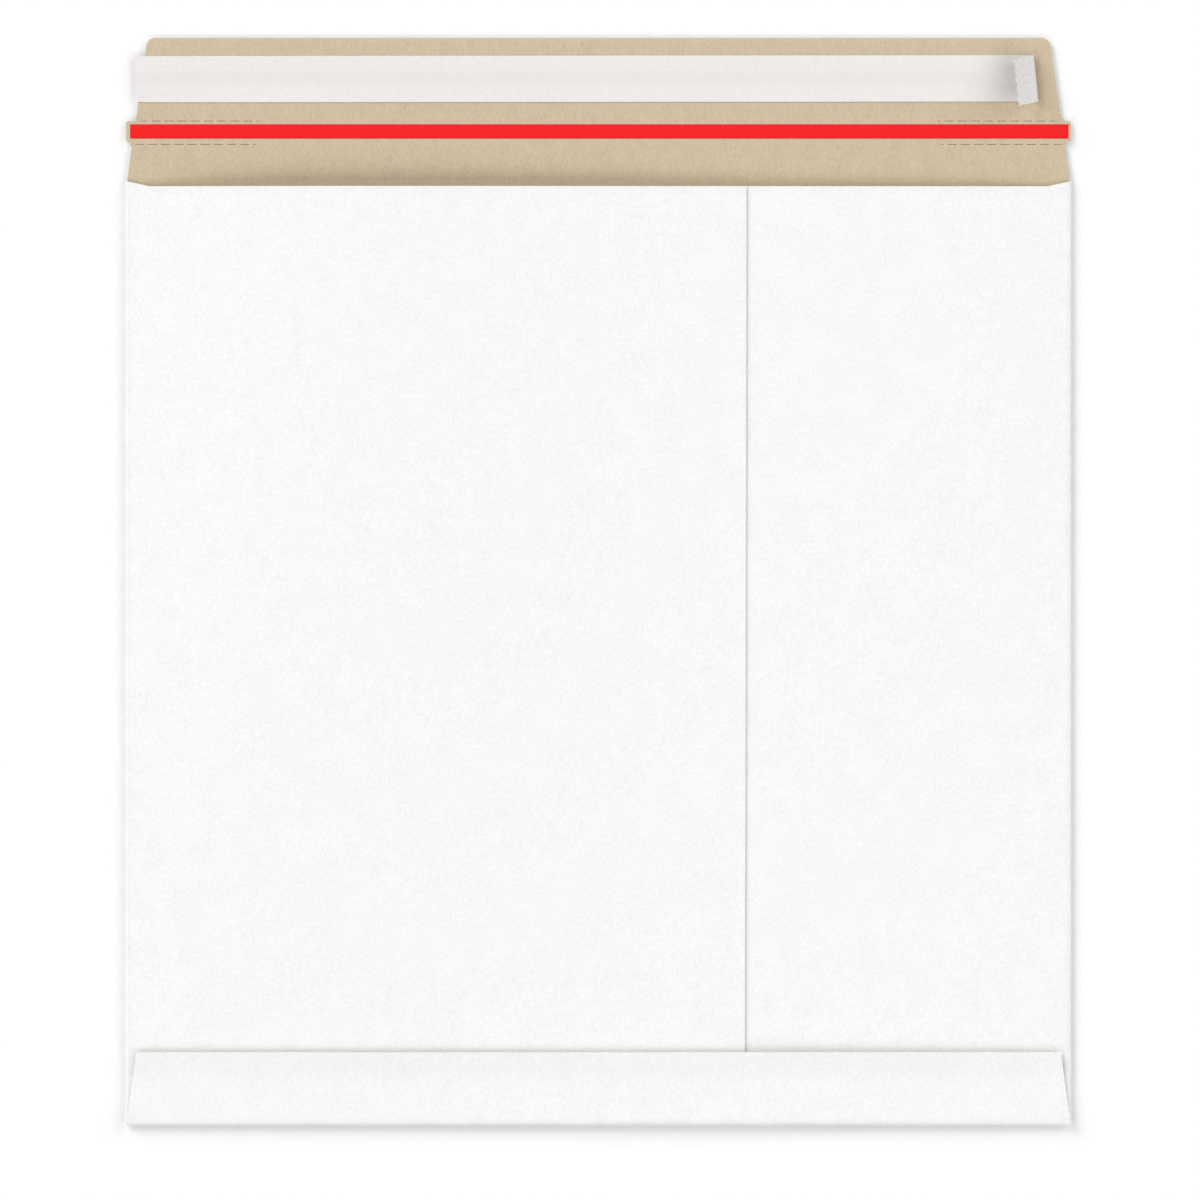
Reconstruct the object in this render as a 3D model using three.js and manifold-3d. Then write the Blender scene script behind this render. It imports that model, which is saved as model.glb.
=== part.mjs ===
// Cardboard envelope: an all-board mailer folded from one die-cut blank, with its closing
// flap open. Millimetres, +Z up. It lies on its address face, so the seam side looks up,
// and +Y runs from the bottom fold to the closing flap. The origin is under the middle of
// the whole outline, on the surface that the envelope lies on.
import * as THREE from 'three';
import { mergeVertices } from 'three/addons/utils/BufferGeometryUtils.js';
import Module from 'manifold-3d';

// Pocket: a front panel and two back panels joined by the side folds
const boardThickness = 0.6;
const pocketWidth = 340; // over the side folds
const pocketHeight = 340; // bottom fold to flap crease
const sideFoldGap = 0.4; // clear gap inside a side fold
const throatDrop = 2.3; // the back panels stop this far below the flap crease
const throatCornerWidth = 8.6; // over this width their outer corners run up to the crease
const throatCornerGap = 0.15; // and stop this far below its groove

// Mouth: the back rises towards it, most on the left panel
const mouthLeftRise = 5.3;
const mouthLeftFromFold = 58; // from the left side fold
const mouthSeamRise = 2.5; // at the seam edge
const mouthRightRise = 1.5;
const mouthRightFromFold = 28; // from the right side fold

// Long seam: the left back panel is glued on top of the right one
const seamFromMiddle = 53.2; // its visible edge at the mouth, right of the middle
const seamLean = 0.6; // the edge stands this much further left at the bottom
const seamOverlap = 25;
const lapLead = 6; // the upper panel is level this far before the hidden edge
const glueGap = 0.15; // between two glued faces
const glueClearance = 0.04; // between a glue film and the board on either side
const glueMargin = 4; // between a glue film and the edges of the board
const glueStepWidth = 0.15; // over this width a film steps down off the seam edge

// Bottom flap: folded up over the back panels and glued down
const bottomFlapHeight = 26.3;
const bottomFlapTaper = 3.8; // each end of its free edge is drawn in by this
const bottomFlapCornerRadius = 0.7;
const bottomFlapRibInset = 4; // its outermost full rib to its rounded corner
const bottomFlapSpring = 1.2; // its free edge springs up by this above the glue
const bottomFlapGlueHeight = 8; // glue from the lower end of the back panels upwards
const backPanelClearance = 1; // the back panels stop this far above the bottom bend

// Closing flap, with a crease at its root
const flapHeight = 51.1;
const flapRootInset = 0.4; // each side steps in by this at the crease
const flapTaper = 7.4; // each end of its free edge is drawn in by this
const flapCornerRadius = 2.5;
const creaseWidth = 0.5;
const creaseDepth = 0.12;

// Tear strip: a band of the flap that ends in pull tabs, between two perforated lines
const tearStripFromCrease = 13.4;
const tearStripHeight = 7.8;
const pullTabCornerRadius = 1.1;
const slitPitch = 4.73;
const slitLength = 3.2;
const slitWidth = 0.18;
const slitFromFlapEdge = 1; // first slit of a line
const lowLineDrop = 0.6; // the lower line stands this far below the strip
const perforationLength = 44.5; // a line ends this far from the flap's side edge

// Tear tape, stuck along the tear strip on the inside
const tapeWidth = 5.1;
const tapeThickness = 0.12;
const tapeFromStripEdge = 1.5; // lower edge of the tape to lower edge of the strip
const tapeLeftInset = 1.5; // its ends to those of the pull tabs
const tapeRightInset = 0.9;

// Sealing adhesive and its release liner, along the free edge of the flap
const adhesiveWidth = 13;
const adhesiveThickness = 0.15;
const adhesiveFromFlapEdge = 3; // left end
const adhesiveToLift = 6.5; // right end, to where the liner starts to lift
const linerWidth = 16.7;
const linerThickness = 0.1;
const linerFromFreeEdge = 6.2;
const linerOverhang = 2.8; // left end, past the side edge of the flap
const linerEndLean = 0.6; // that end is cut askew by this

// Pull end of the liner: lifted off, turned over along a skewed fold and torn off
const pullFoldFromFlapEdge = 8.4; // fold to the right side edge of the flap
const pullFoldSkew = THREE.MathUtils.degToRad(5.5);
const pullLiftLength = 8; // the liner leaves the adhesive over this length
const pullLiftAngle = THREE.MathUtils.degToRad(6);
const pullBendRadius = 1.6;
const pullBendAngle = THREE.MathUtils.degToRad(137);
const pullTabLength = 8.6;
const tornEdgeDepth = 0.45;
const tornEdgeWave = 1.9; // radians for each millimetre across the liner
const tornNickDepth = 0.27; // finer nicks on that wave
const tornNickWave = 4.3;
const tornNickPhase = 1;

// Facets
const foldSteps = 8;
const bowFacet = 18; // longest facet of a bowed panel
const cornerSteps = 4;
const bottomFlapSteps = 3; // facets of each half of the bottom flap, from fold to free edge
const linerStepsAcross = 12;
const linerLiftSteps = 6;
const linerTabSteps = 3;
const joinOverlap = 0.3; // panels run into each other by this before they are joined

// Places worked out from the sizes above
const halfWidth = pocketWidth / 2;
const bottomY = -(pocketHeight + flapHeight) / 2;
const creaseY = bottomY + pocketHeight;
const freeEdgeY = creaseY + flapHeight;
const throatY = creaseY - throatDrop;
const throatCornerY = creaseY - creaseWidth / 2 - throatCornerGap;
const sideFoldRadius = boardThickness + sideFoldGap / 2;
const foldCentreX = halfWidth - sideFoldRadius;
const hiddenEdgeX = seamFromMiddle - seamOverlap;
const fullLap = boardThickness + glueGap;
const backLevel = boardThickness + sideFoldGap; // inside of the back at the side folds
const widestBend = (backLevel + fullLap + boardThickness + glueGap + boardThickness) / 2;
const frontEndY = bottomY + widestBend;
const backEndY = frontEndY + backPanelClearance;
const bottomFlapTopY = bottomY + bottomFlapHeight;
const bottomGlueTopY = backEndY + glueMargin + bottomFlapGlueHeight;
const flapTop = boardThickness; // upper face of the open flap

const wasm = await Module();
wasm.setup();

function clamp01(value) {
  return THREE.MathUtils.clamp(value, 0, 1);
}

function steps(from, to, count) {
  return Array.from({ length: count + 1 }, (_, i) => THREE.MathUtils.lerp(from, to, i / count));
}

// Values no further apart than a facet of a bowed panel.
function bowSteps(from, to) {
  return steps(from, to, Math.ceil((to - from) / bowFacet));
}

// Turns a closed geometry into a solid that can be joined and cut.
function toSolid(geometry) {
  const bare = geometry.clone();
  bare.deleteAttribute('normal');
  bare.deleteAttribute('uv');
  const merged = mergeVertices(bare);
  return new wasm.Manifold(new wasm.Mesh({
    numProp: 3,
    vertProperties: new Float32Array(merged.attributes.position.array),
    triVerts: new Uint32Array(merged.index.array),
  }));
}

function toGeometry(solid) {
  const mesh = solid.getMesh();
  const geometry = new THREE.BufferGeometry();
  geometry.setAttribute('position', new THREE.BufferAttribute(mesh.vertProperties, 3));
  geometry.setIndex(new THREE.BufferAttribute(mesh.triVerts, 1));
  geometry.computeVertexNormals();
  return geometry;
}

// A thin closed sheet between two grids of points. Seen from the outer side, the second
// index of a grid runs to the left of the first.
function sheetGeometry(outer, inner) {
  const lastRow = outer.length - 1;
  const lastColumn = outer[0].length - 1;
  const points = [...outer.flat(), ...inner.flat()];
  const over = (i, j) => i * (lastColumn + 1) + j;
  const under = (i, j) => points.length / 2 + over(i, j);
  const triangles = [];
  const quad = (a, b, c, d) => triangles.push(a, b, c, a, c, d);
  for (let i = 0; i < lastRow; i += 1) {
    for (let j = 0; j < lastColumn; j += 1) {
      quad(over(i, j), over(i + 1, j), over(i + 1, j + 1), over(i, j + 1));
      quad(under(i, j), under(i, j + 1), under(i + 1, j + 1), under(i + 1, j));
    }
    quad(over(i, 0), under(i, 0), under(i + 1, 0), over(i + 1, 0));
    quad(over(i, lastColumn), over(i + 1, lastColumn), under(i + 1, lastColumn), under(i, lastColumn));
  }
  for (let j = 0; j < lastColumn; j += 1) {
    quad(over(0, j), over(0, j + 1), under(0, j + 1), under(0, j));
    quad(over(lastRow, j), under(lastRow, j), under(lastRow, j + 1), over(lastRow, j + 1));
  }
  const geometry = new THREE.BufferGeometry().setFromPoints(points);
  geometry.setIndex(triangles);
  geometry.computeVertexNormals();
  return geometry;
}

// Rise of the back along the mouth, from the left side fold to the right one.
const mouthPoints = [
  [-foldCentreX, 0],
  [mouthLeftFromFold - foldCentreX, mouthLeftRise],
  [seamFromMiddle, mouthSeamRise],
  [foldCentreX - mouthRightFromFold, mouthRightRise],
  [foldCentreX, 0],
];
const mouthRise = new THREE.CubicInterpolant(
  mouthPoints.map(([x]) => x),
  mouthPoints.map(([, rise]) => rise),
  1,
);

// Height of the inside of the back: it bows up by a rise that grows towards the mouth.
function backInside(x, y) {
  const up = clamp01((y - backEndY) / (throatY - backEndY));
  return backLevel + Math.sin(up * Math.PI / 2) * mouthRise.evaluate(x)[0];
}

// Extra height of a layer that lies over the seam: level over the overlap, and sloping
// down to both side folds.
function lapRise(x) {
  const levelFrom = hiddenEdgeX - lapLead;
  const onLeft = (x + foldCentreX) / (levelFrom + foldCentreX);
  const onRight = (foldCentreX - x) / (foldCentreX - seamFromMiddle);
  return fullLap * clamp01(Math.min(onLeft, onRight));
}

const leftInside = (x, y) => backInside(x, y) + lapRise(x);
const leftOutside = (x, y) => leftInside(x, y) + boardThickness;
const rightOutside = (x, y) => backInside(x, y) + boardThickness;

// Inside of the bottom flap: seated on the glue, then springing up to its free edge.
function bottomFlapInside(x, y) {
  const past = clamp01((y - bottomGlueTopY) / (bottomFlapTopY - bottomGlueTopY));
  return leftOutside(x, y) + glueGap + bottomFlapSpring * past ** 2;
}

function seamX(y) {
  return seamFromMiddle - seamLean * (throatY - y) / pocketHeight;
}

// Upper end of a back panel: level, with its outer corner rising to the crease.
function backTopY(x) {
  const corner = clamp01(1 - (halfWidth - Math.abs(x)) / throatCornerWidth);
  return THREE.MathUtils.lerp(throatY, throatCornerY, corner);
}

// Lines from the bottom to the mouth that every layer of the back shares, so that layers
// with the same curve have the same facets.
function backRibs(from, to) {
  const bends = [hiddenEdgeX - lapLead, hiddenEdgeX, seamFromMiddle];
  const shared = [...bowSteps(-foldCentreX, foldCentreX), ...bends];
  const inside = shared.filter((x) => x > from && x < to);
  return [from, ...inside.sort((a, b) => a - b), to];
}

// Side edge of the closing flap at a height above the crease.
function flapSideX(height) {
  return halfWidth - flapRootInset - flapTaper * height / flapHeight;
}

// Right half of the flat outline: front panel, pull tab and rounded flap corner.
function rightOutline() {
  const lean = Math.atan(flapTaper / flapHeight);
  const stripTop = tearStripFromCrease + tearStripHeight;
  const tabX = halfWidth - pullTabCornerRadius;
  const tabLowY = creaseY + tearStripFromCrease;
  const tabHighY = creaseY + stripTop;
  const cornerY = freeEdgeY - flapCornerRadius;
  const cornerX = flapSideX(cornerY - creaseY) - flapCornerRadius / Math.cos(lean);
  const frontX = foldCentreX - joinOverlap / 2;
  const edge = new THREE.Path();
  edge.moveTo(frontX, frontEndY + joinOverlap / 2);
  edge.lineTo(frontX, creaseY);
  edge.lineTo(flapSideX(0), creaseY);
  edge.lineTo(flapSideX(tearStripFromCrease), tabLowY);
  edge.lineTo(tabX, tabLowY);
  edge.absarc(tabX, tabLowY + pullTabCornerRadius, pullTabCornerRadius, -Math.PI / 2, 0);
  edge.absarc(tabX, tabHighY - pullTabCornerRadius, pullTabCornerRadius, 0, Math.PI / 2);
  edge.lineTo(flapSideX(stripTop), tabHighY);
  edge.absarc(cornerX, cornerY, flapCornerRadius, lean, Math.PI / 2);
  return edge.getPoints(cornerSteps);
}

// The four perforated lines: slits from each flap side edge inwards, above and below the
// tear strip. The last slit of a line is cut short where the line ends.
function perforationSlits() {
  const slits = [];
  const lowLine = tearStripFromCrease - lowLineDrop;
  const highLine = tearStripFromCrease + tearStripHeight;
  for (const height of [lowLine, highLine]) {
    for (let start = slitFromFlapEdge; start < perforationLength; start += slitPitch) {
      const length = Math.min(slitLength, perforationLength - start);
      const middleX = flapSideX(height) - start - length / 2;
      for (const side of [-1, 1]) {
        const slit = new THREE.BoxGeometry(length, slitWidth, boardThickness * 2);
        slits.push(slit.translate(side * middleX, creaseY + height, boardThickness / 2));
      }
    }
  }
  return slits;
}

// Front panel and closing flap, flat on the floor as one plate.
function flatPlate() {
  const right = rightOutline();
  const left = right.map((point) => new THREE.Vector2(-point.x, point.y)).reverse();
  const outline = new THREE.Shape([...right, ...left]);
  return new THREE.ExtrudeGeometry(outline, { depth: boardThickness, bevelEnabled: false });
}

// V-shaped crease pressed into the inside of the board at the root of the flap.
function creaseGroove() {
  const section = new THREE.Shape([
    new THREE.Vector2(creaseY, flapTop - creaseDepth),
    new THREE.Vector2(creaseY + creaseWidth / 2, flapTop),
    new THREE.Vector2(creaseY, flapTop + creaseDepth),
    new THREE.Vector2(creaseY - creaseWidth / 2, flapTop),
  ]);
  const groove = new THREE.ExtrudeGeometry(section, { depth: pocketWidth, bevelEnabled: false });
  groove.translate(0, 0, -halfWidth);
  const alongY = new THREE.Vector3(0, 1, 0);
  const alongZ = new THREE.Vector3(0, 0, 1);
  const alongX = new THREE.Vector3(1, 0, 0);
  return groove.applyMatrix4(new THREE.Matrix4().makeBasis(alongY, alongZ, alongX));
}

// A side fold and the back panel that it carries, up to the panel's free edge.
function backPanel(side, edgeX, insideHeight) {
  const outer = [];
  const inner = [];
  const rows = bowSteps(backEndY, throatY).length - 1;
  const addLine = (outerAt, innerAt, topY) => {
    outer.push(steps(backEndY, topY, rows).map((y) => outerAt(y)));
    inner.push(steps(backEndY, topY, rows).map((y) => innerAt(y)));
  };
  const startX = side * (foldCentreX - joinOverlap);
  addLine(
    (y) => new THREE.Vector3(startX, y, 0),
    (y) => new THREE.Vector3(startX, y, boardThickness),
    backTopY(startX),
  );
  for (const angle of steps(-Math.PI / 2, Math.PI / 2, foldSteps)) {
    const onBend = (radius, y) => new THREE.Vector3(
      side * (foldCentreX + radius * Math.cos(angle)),
      y,
      sideFoldRadius + radius * Math.sin(angle),
    );
    const topY = backTopY(foldCentreX + sideFoldRadius * Math.cos(angle));
    addLine((y) => onBend(sideFoldRadius, y), (y) => onBend(sideFoldGap / 2, y), topY);
  }
  const cornerX = side * (halfWidth - throatCornerWidth);
  const farX = edgeX(throatY);
  const ribs = backRibs(Math.min(cornerX, farX), Math.max(cornerX, farX));
  const outwardIn = side < 0 ? ribs : ribs.reverse();
  for (const rib of outwardIn) {
    const x = (y) => (rib === farX ? edgeX(y) : rib);
    addLine(
      (y) => new THREE.Vector3(x(y), y, insideHeight(x(y), y) + boardThickness),
      (y) => new THREE.Vector3(x(y), y, insideHeight(x(y), y)),
      backTopY(rib),
    );
  }
  return side < 0 ? sheetGeometry(outer, inner) : sheetGeometry(outer.reverse(), inner.reverse());
}

// The bottom fold and the bottom flap that lies over the back panels.
function bottomFlap() {
  const outer = [];
  const inner = [];
  const freeHalf = halfWidth - bottomFlapTaper;
  const addLine = (xAt, topY) => {
    const foldX = xAt(bottomY);
    const bend = (bottomFlapInside(foldX, bottomY) + boardThickness) / 2;
    const outerLine = [new THREE.Vector3(foldX, frontEndY + joinOverlap, 0)];
    const innerLine = [new THREE.Vector3(foldX, frontEndY + joinOverlap, boardThickness)];
    for (const angle of steps(-Math.PI / 2, -Math.PI * 3 / 2, foldSteps)) {
      const across = Math.cos(angle);
      const up = Math.sin(angle);
      const innerBend = bend - boardThickness;
      outerLine.push(new THREE.Vector3(foldX, bottomY + bend + bend * across, bend + bend * up));
      innerLine.push(new THREE.Vector3(foldX, bottomY + bend + innerBend * across, bend + innerBend * up));
    }
    const seated = steps(backEndY, bottomGlueTopY, bottomFlapSteps);
    const sprung = steps(bottomGlueTopY, topY, bottomFlapSteps).slice(1);
    for (const y of [...seated, ...sprung]) {
      const height = bottomFlapInside(xAt(y), y);
      outerLine.push(new THREE.Vector3(xAt(y), y, height + boardThickness));
      innerLine.push(new THREE.Vector3(xAt(y), y, height));
    }
    outer.push(outerLine);
    inner.push(innerLine);
  };
  const sideX = (y) => halfWidth - bottomFlapTaper * (y - bottomY) / bottomFlapHeight;
  const radius = bottomFlapCornerRadius;
  const cornerAngles = steps(Math.PI / 2, 0, cornerSteps);
  const addCorner = (side, angle) => {
    const inset = radius * (1 - Math.sin(angle));
    addLine((y) => side * (sideX(y) - inset), bottomFlapTopY - radius * (1 - Math.cos(angle)));
  };
  cornerAngles.forEach((angle) => addCorner(-1, angle));
  const middleHalf = freeHalf - radius - bottomFlapRibInset;
  backRibs(-middleHalf, middleHalf).forEach((rib) => addLine(() => rib, bottomFlapTopY));
  cornerAngles.reverse().forEach((angle) => addCorner(1, angle));
  return sheetGeometry(outer, inner);
}

// The whole folded blank as one piece.
function boardGeometry() {
  const cuts = [creaseGroove(), ...perforationSlits()];
  const plate = cuts.reduce((solid, cut) => solid.subtract(toSolid(cut)), toSolid(flatPlate()));
  const left = toSolid(backPanel(-1, seamX, leftInside));
  const right = toSolid(backPanel(1, () => hiddenEdgeX, backInside));
  return toGeometry(plate.add(left).add(right).add(toSolid(bottomFlap())));
}

// A film of glue that fills the gap between two faces of the back.
function glueFilm(ribs, fromY, toY, lowerFace, upperFace) {
  const heights = bowSteps(fromY, toY);
  const grid = (face, lift) => ribs.map(
    (x) => heights.map((y) => new THREE.Vector3(x, y, face(x, y) + lift)),
  );
  return sheetGeometry(grid(upperFace, -glueClearance), grid(lowerFace, glueClearance));
}

function seamGlue() {
  const ribs = backRibs(hiddenEdgeX + glueMargin, seamX(backEndY) - glueMargin);
  return glueFilm(ribs, backEndY + glueMargin, throatY - glueMargin, rightOutside, leftInside);
}

// Glue under the bottom flap: it steps down from the left panel to the right one just
// past the seam edge.
function bottomFlapGlue() {
  const stepStart = seamFromMiddle + glueStepWidth;
  const stepEnd = stepStart + glueStepWidth;
  const half = halfWidth - bottomFlapTaper - glueMargin;
  const ribs = [...backRibs(-half, half), stepStart, stepEnd].sort((a, b) => a - b);
  const lowerFace = (x, y) => (x < stepEnd ? leftOutside(x, y) : rightOutside(x, y));
  return glueFilm(ribs, backEndY + glueMargin, bottomGlueTopY, lowerFace, bottomFlapInside);
}

// A flat strip on the inside of the open flap, given by its ends and its lower edge.
function flapStrip(fromX, toX, lowY, width, thickness) {
  const strip = new THREE.BoxGeometry(toX - fromX, width, thickness);
  return strip.translate((fromX + toX) / 2, lowY + width / 2, flapTop + thickness / 2);
}

function tearTape() {
  const lowY = creaseY + tearStripFromCrease + tapeFromStripEdge;
  return flapStrip(tapeLeftInset - halfWidth, halfWidth - tapeRightInset, lowY, tapeWidth, tapeThickness);
}

const linerMiddleY = freeEdgeY - linerFromFreeEdge - linerWidth / 2;
const linerSideX = flapSideX(linerMiddleY - creaseY);
const pullFoldX = linerSideX - pullFoldFromFlapEdge;
const pullStraightLength = pullFoldX - pullLiftLength;

function sealAdhesive() {
  const fromX = adhesiveFromFlapEdge - linerSideX;
  const toX = pullStraightLength - adhesiveToLift;
  const lowY = linerMiddleY - adhesiveWidth / 2;
  return flapStrip(fromX, toX, lowY, adhesiveWidth, adhesiveThickness);
}

// Path of the liner seen from its edge, as stretches that each turn by an angle. It gives
// the distance along the liner, the place and the heading of every station.
function linerPath(startX) {
  const bendLength = pullBendRadius * pullBendAngle;
  const stretches = [
    { length: pullStraightLength - startX, turn: 0, count: 1 },
    { length: pullLiftLength, turn: pullLiftAngle, count: linerLiftSteps },
    { length: bendLength, turn: pullBendAngle, count: foldSteps },
    { length: pullTabLength, turn: -pullLiftAngle, count: linerTabSteps },
  ];
  const stations = [{ along: startX, x: startX, z: 0, heading: 0 }];
  for (const { length, turn, count } of stretches) {
    for (let i = 0; i < count; i += 1) {
      const last = stations[stations.length - 1];
      const middle = last.heading + turn / count / 2;
      stations.push({
        along: last.along + length / count,
        x: last.x + length / count * Math.cos(middle),
        z: last.z + length / count * Math.sin(middle),
        heading: last.heading + turn / count,
      });
    }
  }
  return stations;
}

// The liner is a strip rolled about an axis that is skewed to it, so the turned-over end
// leans across the strip as a hand-folded one does.
function releaseLiner() {
  const startX = -(linerSideX + linerOverhang);
  const stations = linerPath(startX);
  const underZ = flapTop + adhesiveThickness;
  const acrossFold = new THREE.Vector3(Math.cos(pullFoldSkew), Math.sin(pullFoldSkew), 0);
  const alongFold = new THREE.Vector3(-Math.sin(pullFoldSkew), Math.cos(pullFoldSkew), 0);
  const pivot = new THREE.Vector3(pullStraightLength, linerMiddleY, underZ);
  const widths = steps(-linerWidth / 2, linerWidth / 2, linerStepsAcross);
  const tornOffset = (width) => (
    tornEdgeDepth * Math.sin(width * tornEdgeWave)
    + tornNickDepth * Math.sin(width * tornNickWave + tornNickPhase)
  );
  const onStation = (station, width, lift, torn) => {
    const run = (station.along - pullStraightLength) * Math.sin(pullFoldSkew);
    const sideways = width / Math.cos(pullFoldSkew) - run * Math.cos(pullFoldSkew);
    const reach = station.x - pullStraightLength + torn * Math.cos(station.heading);
    const up = station.z + torn * Math.sin(station.heading) + lift * Math.cos(station.heading);
    return pivot.clone()
      .addScaledVector(acrossFold, reach - lift * Math.sin(station.heading))
      .addScaledVector(alongFold, sideways)
      .add(new THREE.Vector3(0, 0, up));
  };
  const grid = (lift) => stations.map((station, i) => widths.map((width) => {
    if (i === 0) {
      const lean = linerEndLean * (0.5 - width / linerWidth);
      return new THREE.Vector3(startX + lean, linerMiddleY + width, underZ + lift);
    }
    const torn = i === stations.length - 1 ? tornOffset(width) : 0;
    return onStation(station, width, lift, torn);
  }));
  return sheetGeometry(grid(linerThickness), grid(0));
}

function material(color, roughness) {
  return new THREE.MeshStandardMaterial({ color, roughness, metalness: 0 });
}

const whiteBoard = material(0xf5f4f2, 0.75);
const driedGlue = material(0xd9cfae, 0.5);
const clearAdhesive = material(0xe6dcb8, 0.35);
const siliconePaper = material(0xeeeae9, 0.45);
const redFilm = material(0xf82e2e, 0.4);

const pieces = [
  ['board', boardGeometry(), whiteBoard],
  ['seam_glue', seamGlue(), driedGlue],
  ['bottom_flap_glue', bottomFlapGlue(), driedGlue],
  ['seal_adhesive', sealAdhesive(), clearAdhesive],
  ['release_liner', releaseLiner(), siliconePaper],
  ['tear_tape', tearTape(), redFilm],
];

const envelope = new THREE.Group();
for (const [name, geometry, finish] of pieces) {
  const piece = new THREE.Mesh(geometry, finish);
  piece.name = name;
  envelope.add(piece);
}

export default envelope;
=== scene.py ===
import math
import random

import bpy
import numpy as np
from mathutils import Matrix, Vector


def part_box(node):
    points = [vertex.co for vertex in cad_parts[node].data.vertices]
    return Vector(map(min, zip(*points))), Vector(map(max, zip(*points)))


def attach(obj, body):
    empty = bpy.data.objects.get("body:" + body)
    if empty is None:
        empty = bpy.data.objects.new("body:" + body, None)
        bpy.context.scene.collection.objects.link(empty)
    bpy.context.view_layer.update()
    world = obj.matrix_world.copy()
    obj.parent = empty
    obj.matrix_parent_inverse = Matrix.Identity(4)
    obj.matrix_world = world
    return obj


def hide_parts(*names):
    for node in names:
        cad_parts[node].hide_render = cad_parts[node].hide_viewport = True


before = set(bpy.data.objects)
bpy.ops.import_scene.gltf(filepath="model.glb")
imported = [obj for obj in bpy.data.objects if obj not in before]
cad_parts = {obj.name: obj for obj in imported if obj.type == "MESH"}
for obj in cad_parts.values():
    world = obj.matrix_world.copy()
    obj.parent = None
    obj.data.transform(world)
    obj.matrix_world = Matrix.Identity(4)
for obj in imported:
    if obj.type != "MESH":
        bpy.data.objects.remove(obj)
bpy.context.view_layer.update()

scene = bpy.context.scene
mm = 0.001  # settings are in millimetres, points are scaled as they are made

boardLow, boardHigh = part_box("board")
halfWidth = boardHigh.x / mm
bottomY = boardLow.y / mm
freeEdgeY = boardHigh.y / mm
print("envelope: frame loaded, board", [round(v, 4) for v in boardHigh - boardLow])


# small helpers for node trees and meshes

floatIn = "NodeSocketFloat"
wholeIn = "NodeSocketInt"
vectorIn = "NodeSocketVector"
shapeIn = "NodeSocketGeometry"
finishIn = "NodeSocketMaterial"


def put(tree, kind, inputs=None, **settings):
    node = tree.nodes.new(kind)
    for name, value in settings.items():
        setattr(node, name, value)
    for name, value in (inputs or {}).items():
        if isinstance(value, bpy.types.NodeSocket):
            tree.links.new(value, node.inputs[name])
        else:
            node.inputs[name].default_value = value
    return node


def calc(tree, operation, *values):
    inputs = dict(enumerate(values))
    return put(tree, "ShaderNodeMath", inputs, operation=operation).outputs[0]


def fade(tree, value, start, end, low=0.0, high=1.0):
    inputs = {"Value": value, "From Min": start, "From Max": end, "To Min": low, "To Max": high}
    return put(tree, "ShaderNodeMapRange", inputs, interpolation_type="SMOOTHSTEP").outputs[0]


def tinted(tree, factor, base, tint):
    inputs = {0: factor, 6: base, 7: (*tint, 1)}
    return put(tree, "ShaderNodeMix", inputs, data_type="RGBA").outputs[2]


def newGroup(name, kind, inputs, outputs):
    tree = bpy.data.node_groups.new(name, kind)
    for label, socket in inputs.items():
        tree.interface.new_socket(label, in_out="INPUT", socket_type=socket)
    for label, socket in outputs.items():
        tree.interface.new_socket(label, in_out="OUTPUT", socket_type=socket)
    given = tree.nodes.new("NodeGroupInput").outputs
    result = tree.nodes.new("NodeGroupOutput").inputs
    return tree, given, result


def endTree(tree, shape, finish, result):
    whole = put(tree, "GeometryNodeRealizeInstances", {"Geometry": shape}).outputs[0]
    inputs = {"Geometry": whole, "Material": finish}
    dressed = put(tree, "GeometryNodeSetMaterial", inputs).outputs[0]
    tree.links.new(dressed, result["Geometry"])


def newPiece(name, points, faces=(), edges=()):
    mesh = bpy.data.meshes.new(name)
    mesh.from_pydata([[v * mm for v in point] for point in points], edges, faces)
    piece = bpy.data.objects.new(name, mesh)
    scene.collection.objects.link(piece)
    return piece


def addAttribute(piece, name, values):
    attribute = piece.data.attributes.new(name, "FLOAT", "POINT")
    attribute.data.foreach_set("value", np.array(values, np.float32))


def addTree(piece, tree, values):
    modifier = piece.modifiers.new(tree.name, "NODES")
    modifier.node_group = tree
    for item in tree.interface.items_tree:
        if item.item_type == "SOCKET" and item.in_out == "INPUT" and item.name in values:
            modifier[item.identifier] = values[item.name]


def addThickness(piece, thickness):
    wall = piece.modifiers.new("thickness", "SOLIDIFY")
    wall.thickness = thickness * mm
    wall.offset = 0
    wall.use_even_offset = True
    wall.material_offset = 1
    wall.material_offset_rim = 2


def settle(piece, sharpAngle=35):
    # the modifiers' result becomes a plain mesh
    graph = bpy.context.evaluated_depsgraph_get()
    mesh = bpy.data.meshes.new_from_object(piece.evaluated_get(graph))
    piece.modifiers.clear()
    piece.data = mesh
    mesh.name = piece.name
    mesh.shade_smooth()
    mesh.set_sharp_from_angle(angle=math.radians(sharpAngle))


def lerp(a, b, share):
    return a + (b - a) * share


def clamp01(value):
    return min(1.0, max(0.0, value))


def stops(start, end, cell):
    count = max(1, math.ceil(abs(end - start) / cell))
    return [lerp(start, end, i / count) for i in range(count + 1)]


# finishes shared by the paper surfaces

grainShape = {
    "grainDetail": 2.0,
    "softDetail": 1.0,  # of blotches and fibres
    "fibreHalf": 0.035,  # a fibre runs where its noise is this near the middle
    "fleckDensity": 0.12,
    "fleckCore": 0.04,
    "fleckEdge": 0.12,
    "fleckShare": 0.25,  # this share of the cells holds one
}


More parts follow.
